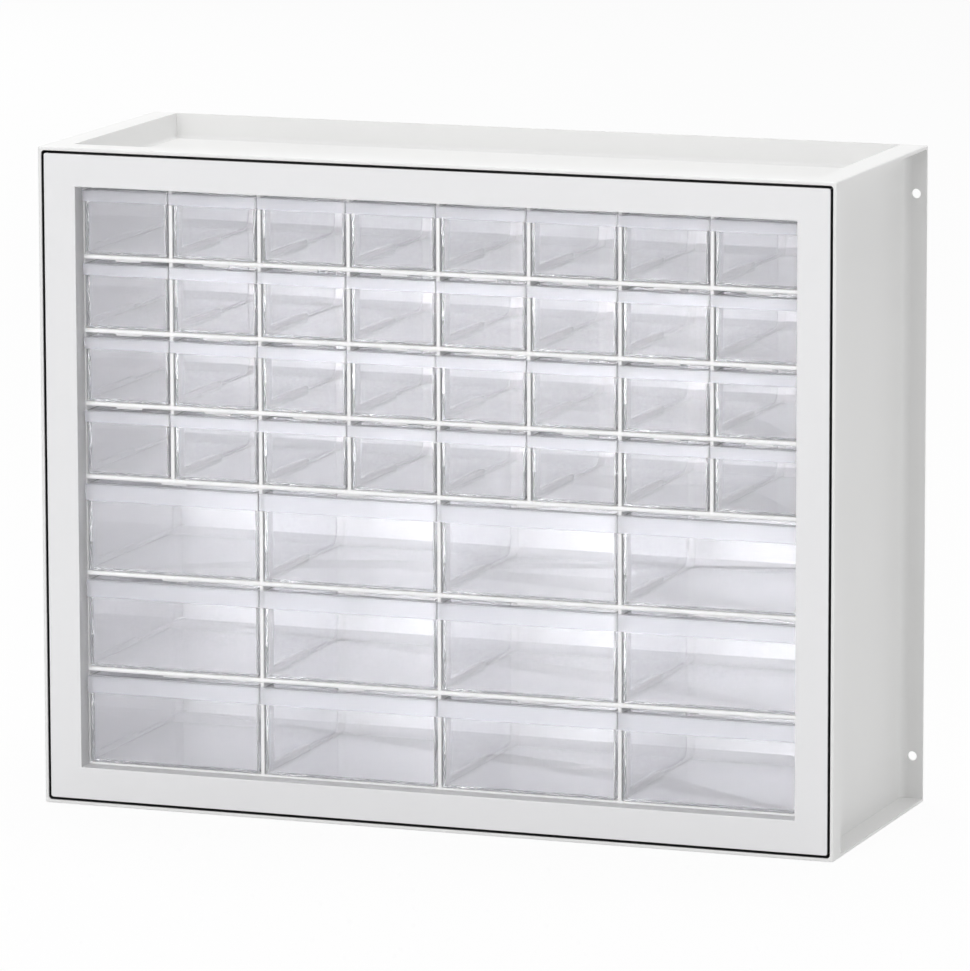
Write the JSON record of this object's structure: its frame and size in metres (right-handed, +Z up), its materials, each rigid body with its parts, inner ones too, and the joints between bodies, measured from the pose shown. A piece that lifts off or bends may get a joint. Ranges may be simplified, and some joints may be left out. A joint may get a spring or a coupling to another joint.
{
  "type": "parts bin cabinet",
  "caption": "White plastic cabinet with rows of small clear sliding drawers above wider ones, an open tray on top and flanges with holes for hanging it on a wall.",
  "frame": {"origin": "under the middle of the cabinet, on the surface it stands on", "axes": "+X to the right seen from the front, +Y from the drawers' fronts to the back, +Z up"},
  "size_m": [0.4952, 0.1778, 0.3962],
  "materials": {
    "white_plastic": "white moulded polystyrene, satin, edges slightly rounded",
    "clear_plastic": "clear moulded polystyrene with a faint lavender haze, glossy"
  },
  "bodies": {
    "cabinet": {"outer_casing": "white_plastic", "back_panel": "white_plastic", "front_bezel": "white_plastic", "rack_side_left": "white_plastic", "rack_side_right": "white_plastic", "rack_shelf_1": "white_plastic", "rack_shelf_2": "white_plastic", "rack_shelf_3": "white_plastic", "rack_shelf_4": "white_plastic", "rack_shelf_5": "white_plastic", "rack_shelf_6": "white_plastic", "rack_shelf_7": "white_plastic", "rack_top": "white_plastic"},
    "small_drawer_r1_c1": {"small_drawer_r1_c1": "clear_plastic"},
    "small_drawer_r1_c2": {"small_drawer_r1_c2": "clear_plastic"},
    "small_drawer_r1_c3": {"small_drawer_r1_c3": "clear_plastic"},
    "small_drawer_r1_c4": {"small_drawer_r1_c4": "clear_plastic"},
    "small_drawer_r1_c5": {"small_drawer_r1_c5": "clear_plastic"},
    "small_drawer_r1_c6": {"small_drawer_r1_c6": "clear_plastic"},
    "small_drawer_r1_c7": {"small_drawer_r1_c7": "clear_plastic"},
    "small_drawer_r1_c8": {"small_drawer_r1_c8": "clear_plastic"},
    "small_drawer_r2_c1": {"small_drawer_r2_c1": "clear_plastic"},
    "small_drawer_r2_c2": {"small_drawer_r2_c2": "clear_plastic"},
    "small_drawer_r2_c3": {"small_drawer_r2_c3": "clear_plastic"},
    "small_drawer_r2_c4": {"small_drawer_r2_c4": "clear_plastic"},
    "small_drawer_r2_c5": {"small_drawer_r2_c5": "clear_plastic"},
    "small_drawer_r2_c6": {"small_drawer_r2_c6": "clear_plastic"},
    "small_drawer_r2_c7": {"small_drawer_r2_c7": "clear_plastic"},
    "small_drawer_r2_c8": {"small_drawer_r2_c8": "clear_plastic"},
    "small_drawer_r3_c1": {"small_drawer_r3_c1": "clear_plastic"},
    "small_drawer_r3_c2": {"small_drawer_r3_c2": "clear_plastic"},
    "small_drawer_r3_c3": {"small_drawer_r3_c3": "clear_plastic"},
    "small_drawer_r3_c4": {"small_drawer_r3_c4": "clear_plastic"},
    "small_drawer_r3_c5": {"small_drawer_r3_c5": "clear_plastic"},
    "small_drawer_r3_c6": {"small_drawer_r3_c6": "clear_plastic"},
    "small_drawer_r3_c7": {"small_drawer_r3_c7": "clear_plastic"},
    "small_drawer_r3_c8": {"small_drawer_r3_c8": "clear_plastic"},
    "small_drawer_r4_c1": {"small_drawer_r4_c1": "clear_plastic"},
    "small_drawer_r4_c2": {"small_drawer_r4_c2": "clear_plastic"},
    "small_drawer_r4_c3": {"small_drawer_r4_c3": "clear_plastic"},
    "small_drawer_r4_c4": {"small_drawer_r4_c4": "clear_plastic"},
    "small_drawer_r4_c5": {"small_drawer_r4_c5": "clear_plastic"},
    "small_drawer_r4_c6": {"small_drawer_r4_c6": "clear_plastic"},
    "small_drawer_r4_c7": {"small_drawer_r4_c7": "clear_plastic"},
    "small_drawer_r4_c8": {"small_drawer_r4_c8": "clear_plastic"},
    "large_drawer_r1_c1": {"large_drawer_r1_c1": "clear_plastic"},
    "large_drawer_r1_c2": {"large_drawer_r1_c2": "clear_plastic"},
    "large_drawer_r1_c3": {"large_drawer_r1_c3": "clear_plastic"},
    "large_drawer_r1_c4": {"large_drawer_r1_c4": "clear_plastic"},
    "large_drawer_r2_c1": {"large_drawer_r2_c1": "clear_plastic"},
    "large_drawer_r2_c2": {"large_drawer_r2_c2": "clear_plastic"},
    "large_drawer_r2_c3": {"large_drawer_r2_c3": "clear_plastic"},
    "large_drawer_r2_c4": {"large_drawer_r2_c4": "clear_plastic"},
    "large_drawer_r3_c1": {"large_drawer_r3_c1": "clear_plastic"},
    "large_drawer_r3_c2": {"large_drawer_r3_c2": "clear_plastic"},
    "large_drawer_r3_c3": {"large_drawer_r3_c3": "clear_plastic"},
    "large_drawer_r3_c4": {"large_drawer_r3_c4": "clear_plastic"}
  },
  "joints": [
    {"name": "small_drawer_r1_c1_slide", "type": "slide", "parent": "cabinet", "child": "small_drawer_r1_c1", "axis": [0, -1, 0], "range_m": [0, 0.1232]},
    {"name": "small_drawer_r1_c2_slide", "type": "slide", "parent": "cabinet", "child": "small_drawer_r1_c2", "axis": [0, -1, 0], "range_m": [0, 0.1232]},
    {"name": "small_drawer_r1_c3_slide", "type": "slide", "parent": "cabinet", "child": "small_drawer_r1_c3", "axis": [0, -1, 0], "range_m": [0, 0.1232]},
    {"name": "small_drawer_r1_c4_slide", "type": "slide", "parent": "cabinet", "child": "small_drawer_r1_c4", "axis": [0, -1, 0], "range_m": [0, 0.1232]},
    {"name": "small_drawer_r1_c5_slide", "type": "slide", "parent": "cabinet", "child": "small_drawer_r1_c5", "axis": [0, -1, 0], "range_m": [0, 0.1232]},
    {"name": "small_drawer_r1_c6_slide", "type": "slide", "parent": "cabinet", "child": "small_drawer_r1_c6", "axis": [0, -1, 0], "range_m": [0, 0.1232]},
    {"name": "small_drawer_r1_c7_slide", "type": "slide", "parent": "cabinet", "child": "small_drawer_r1_c7", "axis": [0, -1, 0], "range_m": [0, 0.1232]},
    {"name": "small_drawer_r1_c8_slide", "type": "slide", "parent": "cabinet", "child": "small_drawer_r1_c8", "axis": [0, -1, 0], "range_m": [0, 0.1232]},
    {"name": "small_drawer_r2_c1_slide", "type": "slide", "parent": "cabinet", "child": "small_drawer_r2_c1", "axis": [0, -1, 0], "range_m": [0, 0.1232]},
    {"name": "small_drawer_r2_c2_slide", "type": "slide", "parent": "cabinet", "child": "small_drawer_r2_c2", "axis": [0, -1, 0], "range_m": [0, 0.1232]},
    {"name": "small_drawer_r2_c3_slide", "type": "slide", "parent": "cabinet", "child": "small_drawer_r2_c3", "axis": [0, -1, 0], "range_m": [0, 0.1232]},
    {"name": "small_drawer_r2_c4_slide", "type": "slide", "parent": "cabinet", "child": "small_drawer_r2_c4", "axis": [0, -1, 0], "range_m": [0, 0.1232]},
    {"name": "small_drawer_r2_c5_slide", "type": "slide", "parent": "cabinet", "child": "small_drawer_r2_c5", "axis": [0, -1, 0], "range_m": [0, 0.1232]},
    {"name": "small_drawer_r2_c6_slide", "type": "slide", "parent": "cabinet", "child": "small_drawer_r2_c6", "axis": [0, -1, 0], "range_m": [0, 0.1232]},
    {"name": "small_drawer_r2_c7_slide", "type": "slide", "parent": "cabinet", "child": "small_drawer_r2_c7", "axis": [0, -1, 0], "range_m": [0, 0.1232]},
    {"name": "small_drawer_r2_c8_slide", "type": "slide", "parent": "cabinet", "child": "small_drawer_r2_c8", "axis": [0, -1, 0], "range_m": [0, 0.1232]},
    {"name": "small_drawer_r3_c1_slide", "type": "slide", "parent": "cabinet", "child": "small_drawer_r3_c1", "axis": [0, -1, 0], "range_m": [0, 0.1232]},
    {"name": "small_drawer_r3_c2_slide", "type": "slide", "parent": "cabinet", "child": "small_drawer_r3_c2", "axis": [0, -1, 0], "range_m": [0, 0.1232]},
    {"name": "small_drawer_r3_c3_slide", "type": "slide", "parent": "cabinet", "child": "small_drawer_r3_c3", "axis": [0, -1, 0], "range_m": [0, 0.1232]},
    {"name": "small_drawer_r3_c4_slide", "type": "slide", "parent": "cabinet", "child": "small_drawer_r3_c4", "axis": [0, -1, 0], "range_m": [0, 0.1232]},
    {"name": "small_drawer_r3_c5_slide", "type": "slide", "parent": "cabinet", "child": "small_drawer_r3_c5", "axis": [0, -1, 0], "range_m": [0, 0.1232]},
    {"name": "small_drawer_r3_c6_slide", "type": "slide", "parent": "cabinet", "child": "small_drawer_r3_c6", "axis": [0, -1, 0], "range_m": [0, 0.1232]},
    {"name": "small_drawer_r3_c7_slide", "type": "slide", "parent": "cabinet", "child": "small_drawer_r3_c7", "axis": [0, -1, 0], "range_m": [0, 0.1232]},
    {"name": "small_drawer_r3_c8_slide", "type": "slide", "parent": "cabinet", "child": "small_drawer_r3_c8", "axis": [0, -1, 0], "range_m": [0, 0.1232]},
    {"name": "small_drawer_r4_c1_slide", "type": "slide", "parent": "cabinet", "child": "small_drawer_r4_c1", "axis": [0, -1, 0], "range_m": [0, 0.1232]},
    {"name": "small_drawer_r4_c2_slide", "type": "slide", "parent": "cabinet", "child": "small_drawer_r4_c2", "axis": [0, -1, 0], "range_m": [0, 0.1232]},
    {"name": "small_drawer_r4_c3_slide", "type": "slide", "parent": "cabinet", "child": "small_drawer_r4_c3", "axis": [0, -1, 0], "range_m": [0, 0.1232]},
    {"name": "small_drawer_r4_c4_slide", "type": "slide", "parent": "cabinet", "child": "small_drawer_r4_c4", "axis": [0, -1, 0], "range_m": [0, 0.1232]},
    {"name": "small_drawer_r4_c5_slide", "type": "slide", "parent": "cabinet", "child": "small_drawer_r4_c5", "axis": [0, -1, 0], "range_m": [0, 0.1232]},
    {"name": "small_drawer_r4_c6_slide", "type": "slide", "parent": "cabinet", "child": "small_drawer_r4_c6", "axis": [0, -1, 0], "range_m": [0, 0.1232]},
    {"name": "small_drawer_r4_c7_slide", "type": "slide", "parent": "cabinet", "child": "small_drawer_r4_c7", "axis": [0, -1, 0], "range_m": [0, 0.1232]},
    {"name": "small_drawer_r4_c8_slide", "type": "slide", "parent": "cabinet", "child": "small_drawer_r4_c8", "axis": [0, -1, 0], "range_m": [0, 0.1232]},
    {"name": "large_drawer_r1_c1_slide", "type": "slide", "parent": "cabinet", "child": "large_drawer_r1_c1", "axis": [0, -1, 0], "range_m": [0, 0.1232]},
    {"name": "large_drawer_r1_c2_slide", "type": "slide", "parent": "cabinet", "child": "large_drawer_r1_c2", "axis": [0, -1, 0], "range_m": [0, 0.1232]},
    {"name": "large_drawer_r1_c3_slide", "type": "slide", "parent": "cabinet", "child": "large_drawer_r1_c3", "axis": [0, -1, 0], "range_m": [0, 0.1232]},
    {"name": "large_drawer_r1_c4_slide", "type": "slide", "parent": "cabinet", "child": "large_drawer_r1_c4", "axis": [0, -1, 0], "range_m": [0, 0.1232]},
    {"name": "large_drawer_r2_c1_slide", "type": "slide", "parent": "cabinet", "child": "large_drawer_r2_c1", "axis": [0, -1, 0], "range_m": [0, 0.1232]},
    {"name": "large_drawer_r2_c2_slide", "type": "slide", "parent": "cabinet", "child": "large_drawer_r2_c2", "axis": [0, -1, 0], "range_m": [0, 0.1232]},
    {"name": "large_drawer_r2_c3_slide", "type": "slide", "parent": "cabinet", "child": "large_drawer_r2_c3", "axis": [0, -1, 0], "range_m": [0, 0.1232]},
    {"name": "large_drawer_r2_c4_slide", "type": "slide", "parent": "cabinet", "child": "large_drawer_r2_c4", "axis": [0, -1, 0], "range_m": [0, 0.1232]},
    {"name": "large_drawer_r3_c1_slide", "type": "slide", "parent": "cabinet", "child": "large_drawer_r3_c1", "axis": [0, -1, 0], "range_m": [0, 0.1232]},
    {"name": "large_drawer_r3_c2_slide", "type": "slide", "parent": "cabinet", "child": "large_drawer_r3_c2", "axis": [0, -1, 0], "range_m": [0, 0.1232]},
    {"name": "large_drawer_r3_c3_slide", "type": "slide", "parent": "cabinet", "child": "large_drawer_r3_c3", "axis": [0, -1, 0], "range_m": [0, 0.1232]},
    {"name": "large_drawer_r3_c4_slide", "type": "slide", "parent": "cabinet", "child": "large_drawer_r3_c4", "axis": [0, -1, 0], "range_m": [0, 0.1232]}
  ]
}
